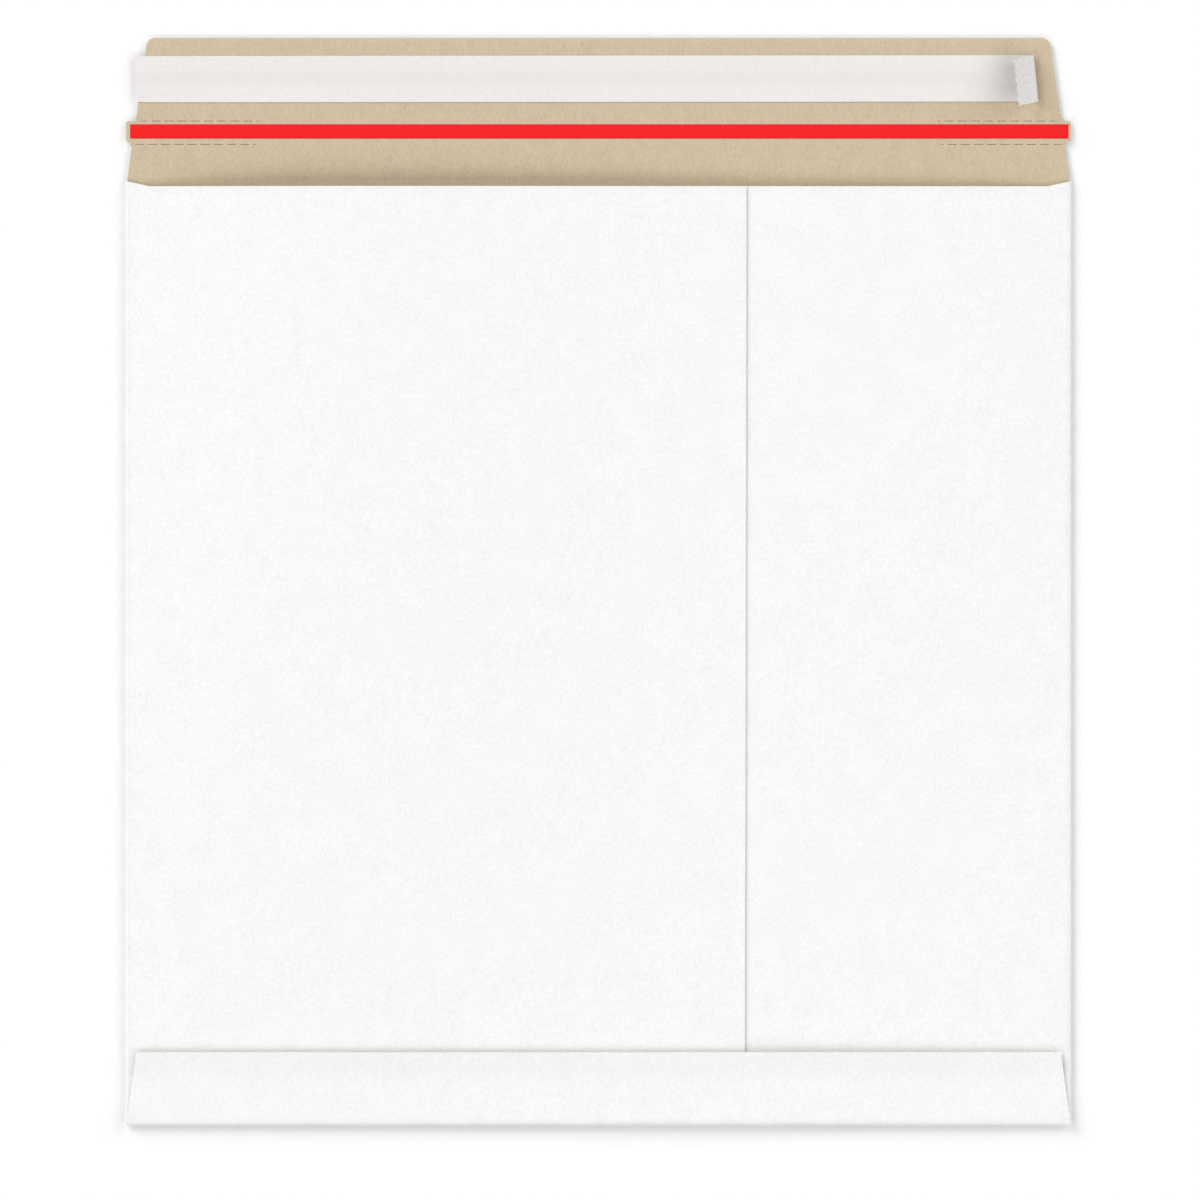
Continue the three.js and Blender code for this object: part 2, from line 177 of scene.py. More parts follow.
def makePaperGrain():
    # Tone swings about 1 and multiplies a colour, Fleck is a mask, Height is for bump,
    # and a Stretch above 1 draws the grain out along y
    names = ("Grain Size", "Grain", "Blotch Size", "Blotch", "Fibre Size", "Fibre", "Stretch", "Seed")
    tree, given, result = newGroup(
        "paperGrain", "ShaderNodeTree",
        {name: floatIn for name in names},
        {"Tone": floatIn, "Fleck": floatIn, "Height": floatIn},
    )
    place = put(tree, "ShaderNodeTexCoord").outputs["Object"]
    stretch = put(tree, "ShaderNodeCombineXYZ", {"X": given["Stretch"], "Y": 1.0, "Z": 1.0}).outputs[0]
    away = put(tree, "ShaderNodeCombineXYZ", {axis: given["Seed"] for axis in "XYZ"}).outputs[0]
    inputs = {0: place, 1: stretch, 2: away}
    place = put(tree, "ShaderNodeVectorMath", inputs, operation="MULTIPLY_ADD").outputs[0]

    def noise(size, detail):
        # swings about 0
        inputs = {"Vector": place, "Scale": calc(tree, "DIVIDE", 1.0, size), "Detail": detail}
        return calc(tree, "SUBTRACT", put(tree, "ShaderNodeTexNoise", inputs).outputs["Fac"], 0.5)

    grain = noise(given["Grain Size"], grainShape["grainDetail"])
    blotch = noise(given["Blotch Size"], grainShape["softDetail"])
    ridge = calc(tree, "ABSOLUTE", noise(given["Fibre Size"], grainShape["softDetail"]))
    fibre = fade(tree, ridge, 0.0, grainShape["fibreHalf"], 1.0, 0.0)
    tone = calc(tree, "MULTIPLY_ADD", grain, given["Grain"], 1.0)
    tone = calc(tree, "MULTIPLY_ADD", blotch, given["Blotch"], tone)
    tone = calc(tree, "MULTIPLY_ADD", fibre, given["Fibre"], tone)
    cells = calc(tree, "DIVIDE", grainShape["fleckDensity"], given["Fibre Size"])
    spots = put(tree, "ShaderNodeTexVoronoi", {"Vector": place, "Scale": cells}).outputs
    near = fade(tree, spots["Distance"], grainShape["fleckCore"], grainShape["fleckEdge"], 1.0, 0.0)
    draw = put(tree, "ShaderNodeSeparateColor", {0: spots["Color"]}).outputs[0]
    chosen = calc(tree, "GREATER_THAN", draw, 1 - grainShape["fleckShare"])
    fleck = calc(tree, "MULTIPLY", near, chosen)
    tree.links.new(tone, result["Tone"])
    tree.links.new(fleck, result["Fleck"])
    tree.links.new(grain, result["Height"])
    return tree


scuffShape = {"detail": 2.0, "wearShare": 0.6, "patchShare": 0.8, "fullAt": 1.1}


def makeFoldScuff():
    # rubbed places along folds and cut edges, from the piece's own wear attribute
    tree, given, result = newGroup(
        "foldScuff", "ShaderNodeTree", {"Patch Size": floatIn, "Reach": floatIn}, {"Scuff": floatIn},
    )
    wear = put(tree, "ShaderNodeAttribute", attribute_name="wear").outputs["Fac"]
    place = put(tree, "ShaderNodeTexCoord").outputs["Object"]
    scale = calc(tree, "DIVIDE", 1.0, given["Patch Size"])
    inputs = {"Vector": place, "Scale": scale, "Detail": scuffShape["detail"]}
    patches = put(tree, "ShaderNodeTexNoise", inputs).outputs["Fac"]
    start = calc(tree, "SUBTRACT", 1.0, given["Reach"])
    patchy = calc(tree, "MULTIPLY", patches, scuffShape["patchShare"])
    level = calc(tree, "MULTIPLY_ADD", wear, scuffShape["wearShare"], patchy)
    tree.links.new(fade(tree, level, start, scuffShape["fullAt"]), result["Scuff"])
    return tree


paperGrain = makePaperGrain()
foldScuff = makeFoldScuff()


def newFinish(name, roughness, gloss):
    material = bpy.data.materials.new(name)
    material.use_nodes = True
    tree = material.node_tree
    shader = tree.nodes["Principled BSDF"]
    shader.inputs["Roughness"].default_value = roughness
    shader.inputs["Specular IOR Level"].default_value = gloss
    return material, tree, shader


def placeGroup(tree, group, values):
    return put(tree, "ShaderNodeGroup", values, node_tree=group).outputs


def placeGrain(tree, look):
    return placeGroup(tree, paperGrain, {
        "Grain Size": look["grainSize"] * mm, "Grain": look["grain"],
        "Blotch Size": look["blotchSize"] * mm, "Blotch": look["blotch"],
        "Fibre Size": look["fibreSize"] * mm, "Fibre": look["fibre"],
        "Stretch": look["stretch"], "Seed": look["seed"],
    })


def shaded(tree, colour, tone):
    inputs = {0: colour, "Scale": tone}
    return put(tree, "ShaderNodeVectorMath", inputs, operation="SCALE").outputs[0]


def addBump(tree, shader, height, look):
    inputs = {"Height": height, "Strength": look["bump"], "Distance": look["bumpDepth"] * mm}
    bump = put(tree, "ShaderNodeBump", inputs)
    tree.links.new(bump.outputs[0], shader.inputs["Normal"])


def fromLine(tree, middle):
    # distance from a line along x
    place = put(tree, "ShaderNodeTexCoord").outputs["Object"]
    y = put(tree, "ShaderNodeSeparateXYZ", {0: place}).outputs["Y"]
    return calc(tree, "ABSOLUTE", calc(tree, "SUBTRACT", y, middle))


def softBand(tree, look):
    gap = fromLine(tree, look["bandMiddle"] * mm)
    half = look["bandHalf"] * mm
    soft = look["bandSoft"]
    return fade(tree, gap, half * (1 - soft), half * (1 + soft), look["band"], 0.0)


def makePaper(name, look):
    material, tree, shader = newFinish(name, look["roughness"], look["gloss"])
    grain = placeGrain(tree, look)
    colour = shaded(tree, look["colour"], grain["Tone"])
    if "fleckColour" in look:
        fleck = calc(tree, "MULTIPLY", grain["Fleck"], look["fleck"])
        colour = tinted(tree, fleck, colour, look["fleckColour"])
    if "scuffColour" in look:
        patches = {"Patch Size": look["scuffSize"] * mm, "Reach": look["scuffReach"]}
        scuff = placeGroup(tree, foldScuff, patches)["Scuff"]
        amount = calc(tree, "MULTIPLY", scuff, look["scuff"])
        colour = tinted(tree, amount, colour, look["scuffColour"])
    # painted shade, darkest by the raised tab, from a per-point attribute
    if "liftedColour" in look:
        lifted = put(tree, "ShaderNodeAttribute", attribute_name="lifted").outputs["Fac"]
        amount = calc(tree, "MULTIPLY", lifted, look["lifted"])
        colour = tinted(tree, amount, colour, look["liftedColour"])
    if "bandColour" in look:
        colour = tinted(tree, softBand(tree, look), colour, look["bandColour"])
    tree.links.new(colour, shader.inputs["Base Color"])
    rough = calc(tree, "MULTIPLY_ADD", grain["Height"], look["roughSwing"], look["roughness"])
    tree.links.new(rough, shader.inputs["Roughness"])
    addBump(tree, shader, grain["Height"], look)
    return material


# white coated outside of the board
whiteLook = {
    "colour": (0.948, 0.948, 0.948), "roughness": 0.74, "gloss": 0.06, "roughSwing": 0.12,
    "grainSize": 1.25, "grain": 0.195, "stretch": 1.45, "seed": 1.0, "bump": 0.25, "bumpDepth": 0.03,
    "blotchSize": 9.0, "blotch": 0.06, "fibreSize": 2.2, "fibre": -0.012,
    "fleck": 0.10, "fleckColour": (0.74, 0.73, 0.71),
    "scuff": 0.15, "scuffColour": (0.70, 0.695, 0.69), "scuffSize": 6.0, "scuffReach": 0.45,
}
# brown inside of the board
kraftLook = {
    "colour": (0.631, 0.521, 0.366), "roughness": 0.8, "gloss": 0.12, "roughSwing": 0.1,
    "grainSize": 1.45, "grain": 0.33, "stretch": 2.3, "seed": 3.0, "bump": 0.4, "bumpDepth": 0.05,
    "blotchSize": 12.0, "blotch": 0.09, "fibreSize": 1.6, "fibre": -0.05,
    "fleck": 0.35, "fleckColour": (0.45, 0.34, 0.21),
    "scuff": 0.30, "scuffColour": (0.70, 0.60, 0.44), "scuffSize": 4.0, "scuffReach": 0.5,
}
# cut edge of the board
edgeLook = {
    "colour": (0.69, 0.68, 0.66), "roughness": 0.9, "gloss": 0.1, "roughSwing": 0.05,
    "grainSize": 0.25, "grain": 0.5, "stretch": 1.0, "seed": 5.0, "bump": 0.6, "bumpDepth": 0.06,
    "blotchSize": 5.0, "blotch": 0.15, "fibreSize": 0.6, "fibre": -0.08,
}
whiteBoard = makePaper("whiteBoard", whiteLook)
kraftInside = makePaper("kraftInside", kraftLook)
cutEdge = makePaper("cutEdge", edgeLook)
print("envelope: board finishes made")


# folded board: one blank drawn as its middle surface, bowed, thickened and perforated

blank = {
    "thickness": 0.6,
    "pocketHeight": 340.0,  # bottom fold to flap crease
    "sideFoldGap": 0.4,
    "mouthLeft": {"fromFold": 58.0, "rise": 5.3},  # the back rises most on its left panel
    "mouthSeamRise": 2.5,
    "mouthRight": {"fromFold": 28.0, "rise": 1.5},
    "throatDrop": 2.3,  # mouth edge below the crease
    "throatCornerWidth": 8.6,
    "throatCornerDrop": 0.4,
    "seamFromMiddle": 53.2,
    "seamLean": 0.6,
    "seamOverlap": 25.0,
    "lapLead": 6.0,
    "glueGap": 0.15,
    "bottomFoldPower": 3.2,  # of its section, where 2 is round and more is squarer
    "bottomFlapHeight": 26.3,
    "bottomFlapTaper": 3.8,
    "bottomFlapCorner": 0.7,
    "bottomFlapSpring": 1.2,  # lift of its free edge
    "bottomFlapEase": 0.4,  # share of the free part that turns up, the rest is straight
    "bottomGlue": 12.0,  # the flap is stuck this far up from the end of the back
    "backClearance": 1.0,
    "flapHeight": 51.1,
    "flapRootInset": 0.4,
    "flapTaper": 7.4,
    "flapCorner": 2.5,
    "stripFromCrease": 13.4,  # tear strip
    "stripHeight": 7.8,
    "tabCorner": 1.1,
    "cell": 5.0,  # longest side of a face
    "bottomFlapCell": 1.25,
    "stripCell": 1.7,
    "throatCornerCells": 5,
    "foldCells": 12,
    "cornerCells": 6,
    "tabCells": 3,
    "foldWearReach": 2.5,
}
thick = blank["thickness"]
creaseY = bottomY + blank["pocketHeight"]
throatY = creaseY - blank["throatDrop"]
throatCornerY = creaseY - blank["throatCornerDrop"]
foldRadius = thick + blank["sideFoldGap"] / 2
foldX = halfWidth - foldRadius
hiddenEdgeX = blank["seamFromMiddle"] - blank["seamOverlap"]
fullLap = thick + blank["glueGap"]
backLevel = thick + blank["sideFoldGap"]
frontEndY = bottomY + (backLevel + fullLap + thick + blank["glueGap"] + thick) / 2
backEndY = frontEndY + blank["backClearance"]
bottomFlapTopY = bottomY + blank["bottomFlapHeight"]
bottomGlueTopY = backEndY + blank["bottomGlue"]
stripTop = blank["stripFromCrease"] + blank["stripHeight"]
mouthPoints = [
    (-foldX, 0.0),
    (blank["mouthLeft"]["fromFold"] - foldX, blank["mouthLeft"]["rise"]),
    (blank["seamFromMiddle"], blank["mouthSeamRise"]),
    (foldX - blank["mouthRight"]["fromFold"], blank["mouthRight"]["rise"]),
    (foldX, 0.0),
]


def mouthRise(x):
    # cubic through the mouth points, its slope at each the mean of the two sides
    if abs(x) >= foldX:
        return 0.0
    slopes = [(b[1] - a[1]) / (b[0] - a[0]) for a, b in zip(mouthPoints, mouthPoints[1:])]
    tangents = [slopes[0]] + [(a + b) / 2 for a, b in zip(slopes, slopes[1:])] + [slopes[-1]]
    i = max(n for n in range(len(slopes)) if mouthPoints[n][0] <= x)
    (x0, rise0), (x1, rise1) = mouthPoints[i], mouthPoints[i + 1]
    u = (x - x0) / (x1 - x0)
    start = (1 + 2 * u) * (1 - u) ** 2 * rise0 + u * (1 - u) ** 2 * (x1 - x0) * tangents[i]
    end = u ** 2 * (3 - 2 * u) * rise1 + u ** 2 * (u - 1) * (x1 - x0) * tangents[i + 1]
    return start + end


def lapRise(x):
    levelFrom = hiddenEdgeX - blank["lapLead"]
    onLeft = (x + foldX) / (levelFrom + foldX)
    onRight = (foldX - x) / (foldX - blank["seamFromMiddle"])
    return fullLap * clamp01(min(onLeft, onRight))


def bottomFlapLevel(x, y):
    past = clamp01((y - bottomGlueTopY) / (bottomFlapTopY - bottomGlueTopY))
    ease = blank["bottomFlapEase"]
    turned = min(past, ease)
    share = (turned ** 2 / (2 * ease) + past - turned) / (1 - ease / 2)
    return backLevel + lapRise(x) + thick + blank["glueGap"] + blank["bottomFlapSpring"] * share


def seamX(y):
    return blank["seamFromMiddle"] - blank["seamLean"] * (throatY - y) / blank["pocketHeight"]


def backTopY(x):
    corner = clamp01(1 - (halfWidth - abs(x)) / blank["throatCornerWidth"])
    return lerp(throatY, throatCornerY, corner)


def flapSideX(height):
    return halfWidth - blank["flapRootInset"] - blank["flapTaper"] * height / blank["flapHeight"]


def blankColumns():
    # across the blank: left back panel, left fold, front, right fold, right back panel
    cornerX = halfWidth - blank["throatCornerWidth"]
    cell = blank["cell"]
    cornerCell = blank["throatCornerWidth"] / blank["throatCornerCells"]
    foldTurns = stops(math.pi / 2, -math.pi / 2, math.pi / blank["foldCells"])[:-1]
    leftStops = stops(blank["seamFromMiddle"], -cornerX, cell)
    leftStops += stops(-cornerX, -foldX, cornerCell)[1:-1]
    rightStops = stops(foldX, cornerX, cornerCell)[1:]
    rightStops += stops(cornerX, hiddenEdgeX, cell)[1:]
    return (
        [("left", x) for x in leftStops]
        + [("leftFold", turn) for turn in foldTurns]
        + [("front", share) for share in stops(-1.0, 1.0, cell / halfWidth)]
        + [("rightFold", turn) for turn in reversed(foldTurns)]
        + [("right", x) for x in rightStops]
    )


def blankRows():
    # up the blank: bottom flap from its free edge, bottom bend, body, flap
    cell = blank["cell"]
    radius = blank["bottomFlapCorner"]
    quarter = [math.pi / 2 * i / blank["cornerCells"] for i in range(blank["cornerCells"] + 1)]
    rows = []
    for angle in reversed(quarter):
        y = bottomFlapTopY - radius * (1 - math.sin(angle))
        rows.append(("bottomFlap", y, radius * (1 - math.cos(angle))))
    flapStops = stops(bottomFlapTopY - radius, backEndY, blank["bottomFlapCell"])[1:]
    rows += [("bottomFlap", y, 0) for y in flapStops]
    bendTurns = stops(-1.5 * math.pi, -0.5 * math.pi, math.pi / blank["foldCells"])
    rows += [("bend", turn, 0) for turn in bendTurns]
    rows += [("body", share, 0) for share in stops(0.0, 1.0, cell / blank["pocketHeight"])]
    rows += [("flap", height, 0) for height in stops(0.0, blank["stripFromCrease"], cell)[:-1]]
    corner = blank["tabCorner"]
    low = blank["stripFromCrease"] + corner
    high = stripTop - corner
    rows += [("strip", low - corner * math.cos(a), corner * (1 - math.sin(a))) for a in quarter]
    rows += [("strip", height, 0) for height in stops(low, high, blank["stripCell"])[1:-1]]
    rows += [("strip", high + corner * math.sin(a), corner * (1 - math.cos(a))) for a in quarter]
    radius = blank["flapCorner"]
    cornerHeight = blank["flapHeight"] - radius
    rows += [("flap", height, 0) for height in stops(stripTop, cornerHeight, cell)[1:-1]]
    rows += [("flap", cornerHeight + radius * math.sin(a), radius * (1 - math.cos(a))) for a in quarter]
    return rows


def bodyPoint(kind, value, share):
    if kind == "front":
        return value * foldX, lerp(backEndY, backTopY(foldX), share), thick / 2, 0
    if kind in ("leftFold", "rightFold"):
        side = -1 if kind == "leftFold" else 1
        middle = foldRadius - thick / 2
        topY = backTopY(foldX + foldRadius * math.cos(value))
        y = lerp(backEndY, topY, share)
        return side * (foldX + middle * math.cos(value)), y, foldRadius + middle * math.sin(value), 1
    y = lerp(backEndY, backTopY(value), share)
    if kind == "right":
        return value, y, backLevel + thick / 2, 1
    cornerX = halfWidth - blank["throatCornerWidth"]
    lean = clamp01((value + cornerX) / (blank["seamFromMiddle"] + cornerX))
    x = value + lean * (seamX(y) - blank["seamFromMiddle"])
    return x, y, backLevel + lapRise(x) + thick / 2, 1


def squarer(value):
    return math.copysign(abs(value) ** (2 / blank["bottomFoldPower"]), value)


def blankPoint(row, column, tabShare):
    part, place, inset = row
    kind, value = column
    if part == "body":
        return bodyPoint(kind, value, place)
    if part == "strip" and tabShare is not None:
        side = -1 if kind == "leftFold" else 1
        x = lerp(flapSideX(place), halfWidth - inset, tabShare)
        return side * x, creaseY + place, thick / 2, 0
    if kind != "front":
        return None
    if part == "bottomFlap":
        side = halfWidth - blank["bottomFlapTaper"] * (place - bottomY) / blank["bottomFlapHeight"]
        x = value * (side - inset)
        return x, place, bottomFlapLevel(x, place) + thick / 2, 1
    if part == "bend":
        x = value * halfWidth
        bend = (bottomFlapLevel(x, bottomY) + thick) / 2
        middle = bend - thick / 2
        y = bottomY + bend + middle * squarer(math.cos(place))
        return x, y, bend + middle * squarer(math.sin(place)), 1
    if part == "strip":
        return value * flapSideX(place), creaseY + place, thick / 2, 0
    return value * (flapSideX(place) - inset), creaseY + place, thick / 2, 0


def foldWear(x, y, row, column):
    # 1 on a fold, fading away from folds, the mouth and the free edges
    if row[0] == "bend" or column[0] in ("leftFold", "rightFold"):
        return 1.0
    gaps = [abs(y - bottomY), abs(y - creaseY), abs(y - freeEdgeY), abs(halfWidth - abs(x))]
    if row[0] == "body" and column[0] != "front":
        gaps.append(abs(y - throatY))
    return math.exp(-min(gaps) / blank["foldWearReach"])


def drawBlank():
    columns = blankColumns()
    rows = blankRows()
    tabCells = blank["tabCells"]
    frontFirst = next(i for i, column in enumerate(columns) if column[0] == "front")
    frontLast = max(i for i, column in enumerate(columns) if column[0] == "front")
    points, rises, wears, index = [], [], [], {}
    for r, row in enumerate(rows):
        for c, column in enumerate(columns):
            beyond = max(frontFirst - c, c - frontLast)
            tabShare = beyond / tabCells if 0 < beyond <= tabCells else None
            found = blankPoint(row, column, tabShare)
            if found is None:
                continue
            x, y, z, upper = found
            index[r, c] = len(points)
            points.append((x, y, z))
            rises.append(upper * mouthRise(x) * mm)
            wears.append(foldWear(x, y, row, column))
    faces = []
    for r in range(len(rows) - 1):
        for c in range(len(columns) - 1):
            corners = [(r, c), (r + 1, c), (r + 1, c + 1), (r, c + 1)]
            if all(corner in index for corner in corners):
                faces.append([index[corner] for corner in corners])
    piece = newPiece("foldedBoard", points, faces)
    addAttribute(piece, "rise", rises)
    addAttribute(piece, "wear", wears)
    return piece


def makeMouthBow():
    # the back bows up by its rise at the mouth, less and less towards the bottom
    tree, given, result = newGroup(
        "mouthBow", "GeometryNodeTree",
        {"Geometry": shapeIn, "Low End": floatIn, "Mouth": floatIn, "Board": finishIn},
        {"Geometry": shapeIn},
    )
    place = put(tree, "GeometryNodeInputPosition").outputs[0]
    axes = put(tree, "ShaderNodeSeparateXYZ", {0: place}).outputs
    rise = put(tree, "GeometryNodeInputNamedAttribute", {"Name": "rise"}, data_type="FLOAT").outputs[0]
    reach = {"Value": axes["Y"], "From Min": given["Low End"], "From Max": given["Mouth"]}
    up = put(tree, "ShaderNodeMapRange", reach).outputs[0]
    share = calc(tree, "SINE", calc(tree, "MULTIPLY", up, math.pi / 2))
    lift = calc(tree, "MULTIPLY", share, rise)
    offset = put(tree, "ShaderNodeCombineXYZ", {"Z": lift}).outputs[0]
    inputs = {"Geometry": given["Geometry"], "Offset": offset}
    moved = put(tree, "GeometryNodeSetPosition", inputs).outputs[0]
    endTree(tree, moved, given["Board"], result)
    return tree


perforation = {
    "pitch": 4.73,
    "slitLength": 3.2,
    "slitWidth": 0.18,
    "firstSlit": 1.0,  # from the side edge of the flap
    "lineLength": 44.5,
    "lowLineDrop": 0.6,  # below the tear strip
    "cutDepth": 2.0,
}


def makePerforatedLines():
    # a row of slits runs inwards from each point, and the last one is cut short
    tree, given, result = newGroup(
        "perforatedLines", "GeometryNodeTree",
        {
            "Geometry": shapeIn, "Pitch": floatIn, "Slit Length": floatIn, "Slit Width": floatIn,
            "First Slit": floatIn, "Line Length": floatIn, "Cut Depth": floatIn, "Edge": finishIn,
        },
        {"Geometry": shapeIn},
    )
    span = calc(tree, "SUBTRACT", given["Line Length"], given["First Slit"])
    count = calc(tree, "CEIL", calc(tree, "DIVIDE", span, given["Pitch"]))
    back = calc(tree, "MULTIPLY", given["Pitch"], -1.0)
    step = put(tree, "ShaderNodeCombineXYZ", {"X": back}).outputs[0]
    line = put(tree, "GeometryNodeMeshLine", {"Count": count, "Offset": step}, mode="OFFSET").outputs[0]
    number = put(tree, "GeometryNodeInputIndex").outputs[0]
    start = calc(tree, "MULTIPLY_ADD", number, given["Pitch"], given["First Slit"])
    left = calc(tree, "SUBTRACT", given["Line Length"], start)
    length = calc(tree, "MINIMUM", given["Slit Length"], left)
    first = calc(tree, "MULTIPLY", given["First Slit"], -1.0)
    inward = calc(tree, "MULTIPLY_ADD", length, -0.5, first)
    shift = put(tree, "ShaderNodeCombineXYZ", {"X": inward}).outputs[0]
    line = put(tree, "GeometryNodeSetPosition", {"Geometry": line, "Offset": shift}).outputs[0]
    section = {"X": 1.0, "Y": given["Slit Width"], "Z": given["Cut Depth"]}
    size = put(tree, "ShaderNodeCombineXYZ", section).outputs[0]
    slit = put(tree, "GeometryNodeMeshCube", {"Size": size}).outputs[0]
    scale = put(tree, "ShaderNodeCombineXYZ", {"X": length, "Y": 1.0, "Z": 1.0}).outputs[0]
    along = {"Points": line, "Instance": slit, "Scale": scale}
    row = put(tree, "GeometryNodeInstanceOnPoints", along).outputs[0]
    turn = put(tree, "GeometryNodeInputNamedAttribute", {"Name": "turn"}, data_type="FLOAT").outputs[0]
    heading = put(tree, "ShaderNodeCombineXYZ", {"Z": turn}).outputs[0]
    spread = {"Points": given["Geometry"], "Instance": row, "Rotation": heading}
    rows = put(tree, "GeometryNodeInstanceOnPoints", spread).outputs[0]
    endTree(tree, rows, given["Edge"], result)
    return tree


def makeSlitCutter():
    heights = (blank["stripFromCrease"] - perforation["lowLineDrop"], stripTop)
    starts = [(side * flapSideX(h), creaseY + h, thick / 2) for h in heights for side in (-1, 1)]
    cutter = newPiece("slitCutter", starts)
    addAttribute(cutter, "turn", [math.pi if x < 0 else 0 for x, y, z in starts])
    addTree(cutter, makePerforatedLines(), {
        "Pitch": perforation["pitch"] * mm, "Slit Length": perforation["slitLength"] * mm,
        "Slit Width": perforation["slitWidth"] * mm, "First Slit": perforation["firstSlit"] * mm,
        "Line Length": perforation["lineLength"] * mm, "Cut Depth": perforation["cutDepth"] * mm,
        "Edge": cutEdge,
    })
    settle(cutter)
    return cutter


crease = {"width": 0.9, "depth": 0.05, "sideGap": 1.2}  # it stops short of the side folds


def makeCreaseCutter():
    # its section is a flat diamond, so that it presses a V into the inside of the board
    half = crease["width"] / 2
    depth = crease["depth"]
    section = [
        (creaseY, thick - depth), (creaseY + half, thick),
        (creaseY, thick + depth), (creaseY - half, thick),
    ]
    endX = halfWidth - crease["sideGap"]
    points = [(side * endX, y, z) for side in (-1, 1) for y, z in section]
    faces = [(3, 2, 1, 0), (4, 5, 6, 7)]
    faces += [(i, (i + 1) % 4, (i + 1) % 4 + 4, i + 4) for i in range(4)]
    cutter = newPiece("creaseCutter", points, faces)
    cutter.data.materials.append(kraftInside)
    return cutter


def cutWith(piece, cutter):
    cut = piece.modifiers.new(cutter.name, "BOOLEAN")
    cut.operation = "DIFFERENCE"
    cut.solver = "EXACT"
    cut.material_mode = "TRANSFER"
    cut.object = cutter


def splitCutFaces(piece):
    # only the faces that the cuts gave more than four corners
    split = piece.modifiers.new("facets", "TRIANGULATE")
    split.min_vertices = 5
    split.ngon_method = "BEAUTY"


board = drawBlank()
for finish in (whiteBoard, kraftInside, cutEdge):
    board.data.materials.append(finish)
addTree(board, makeMouthBow(), {
    "Low End": backEndY * mm, "Mouth": throatY * mm, "Board": whiteBoard,
})
addThickness(board, thick)
cutters = [makeSlitCutter(), makeCreaseCutter()]
for cutter in cutters:
    cutWith(board, cutter)
splitCutFaces(board)
settle(board)
for cutter in cutters:
    bpy.data.objects.remove(cutter)
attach(board, "root")
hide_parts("board")
print("envelope: board folded,", len(board.data.polygons), "faces")


# release liner: a strip rolled over a skewed fold, with a torn end

liner = {
    "width": 16.7,
    "thickness": 0.1,
    "fromFreeEdge": 6.2,
    "overhang": 2.8,  # left end past the side edge of the flap
    "endLean": 0.6,  # that end is cut askew
    "foldFromFlapEdge": 8.4,
    "foldSkew": math.radians(5.5),
    "liftLength": 8.0,
    "liftAngle": math.radians(6),
    "bendRadius": 1.6,
    "bendAngle": math.radians(137),
    "tabLength": 8.6,
    "adhesive": 0.15,
    "tornDepth": 0.45,
    "tornWave": 1.9,
    "nickDepth": 0.27,
    "nickWave": 4.3,
    "nickShift": 1.0,
    "fray": 0.12,  # random part of the torn line
    "tabShadeReach": 16.0,  # painted shade of the raised tab starts this far before the paper lifts
    "tabShadeSideLoss": 0.4,  # and is lighter at its sides
    "cellsAcross": 56,
    "straightCell": 6.0,
    "liftCells": 24,
    "bendCells": 20,
    "tabCells": 14,
    "sharpAngle": 50,
    "seed": 11,
}
linerLook = {
    "colour": (0.858, 0.830, 0.820), "roughness": 0.5, "gloss": 0.16, "roughSwing": 0.1,
    "grainSize": 0.9, "grain": 0.145, "stretch": 0.7, "seed": 7.0, "bump": 0.15, "bumpDepth": 0.02,
    "blotchSize": 14.0, "blotch": 0.04, "fibreSize": 1.8, "fibre": -0.008,
}
linerMiddleY = freeEdgeY - liner["fromFreeEdge"] - liner["width"] / 2
# the adhesive shows through along the middle; painted shade darkens the paper towards the raised tab,
# for the tab's shadow and the gap behind the lifted end
linerFaceLook = dict(
    linerLook, bandMiddle=linerMiddleY, bandHalf=2.3, bandSoft=0.6, band=0.45,
    bandColour=(0.80, 0.765, 0.75), lifted=0.78, liftedColour=(0.55, 0.54, 0.535),
)
linerBackLook = dict(
    linerLook, colour=(0.775, 0.760, 0.749), roughness=0.36, gloss=0.3, grain=0.34, seed=8.0,
)
tornLook = dict(
    linerLook, colour=(0.90, 0.89, 0.88), roughness=0.95, gloss=0.1, grain=0.2, seed=9.0,
)
linerFace = makePaper("linerFace", linerFaceLook)
linerBack = makePaper("linerBack", linerBackLook)
tornPaper = makePaper("tornPaper", tornLook)

linerSideX = flapSideX(linerMiddleY - creaseY)
pullStart = linerSideX - liner["foldFromFlapEdge"] - liner["liftLength"]
linerStartX = -(linerSideX + liner["overhang"])


def linerStations():
    # distance along, place and heading at every step of the path seen from its edge
    straight = pullStart - linerStartX
    stretches = [
        (straight, 0.0, math.ceil(straight / liner["straightCell"])),
        (liner["liftLength"], liner["liftAngle"], liner["liftCells"]),
        (liner["bendRadius"] * liner["bendAngle"], liner["bendAngle"], liner["bendCells"]),
        (liner["tabLength"], -liner["liftAngle"], liner["tabCells"]),
    ]
    stations = [(linerStartX, linerStartX, 0.0, 0.0, 0.0)]
    for number, (length, turn, count) in enumerate(stretches):
        for i in range(count):
            along, x, z, heading, _ = stations[-1]
            step = length / count
            middle = heading + turn / count / 2
            tornShare = (i + 1) / count if number == len(stretches) - 1 else 0.0
            stations.append((
                along + step, x + step * math.cos(middle), z + step * math.sin(middle),
                heading + turn / count, tornShare,
            ))
    return stations


